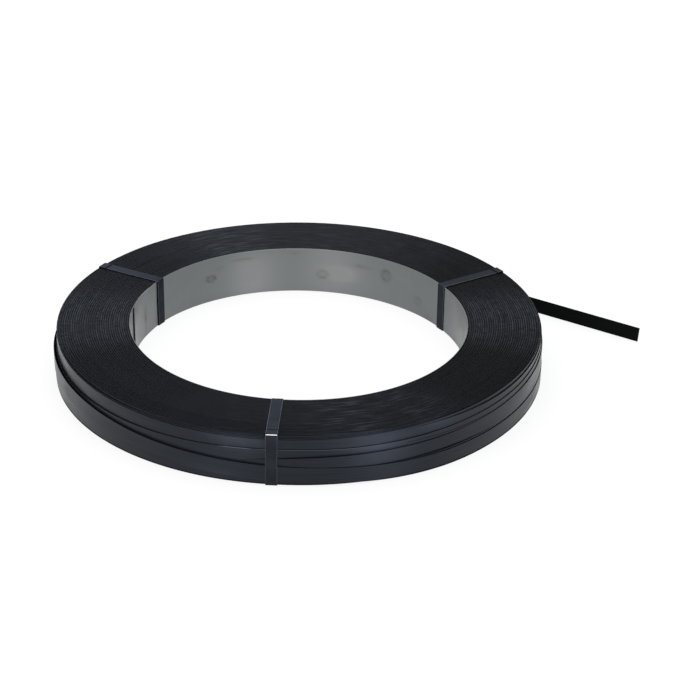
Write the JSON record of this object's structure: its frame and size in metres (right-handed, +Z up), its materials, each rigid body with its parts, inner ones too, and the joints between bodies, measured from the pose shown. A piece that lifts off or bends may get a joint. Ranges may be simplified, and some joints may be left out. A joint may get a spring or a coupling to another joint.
{
  "type": "steel strapping coil",
  "caption": "Flat round coil of dark painted steel strapping on a sheet ring, tied across its section, with the strap's free end standing off straight.",
  "frame": {"origin": "on the axis of the bore, level with the lower end of the winding", "axes": "+Z up along the bore's axis, -Y towards the front tie's side, +X towards the side on which the free end stands off"},
  "size_m": [0.7142, 0.5813, 0.0617],
  "materials": {
    "painted_strap": "black paint over cold-rolled steel, waxed, satin",
    "bare_sheet": "bare cold-rolled sheet, oiled, with light stains",
    "blued_tie": "blue-black heat-treated strap, semi-gloss"
  },
  "bodies": {
    "root": {"strap_coil": "painted_strap", "core_ring": "bare_sheet", "tie_front": "blued_tie", "tie_left": "blued_tie", "tie_right": "blued_tie"}
  },
  "joints": []
}
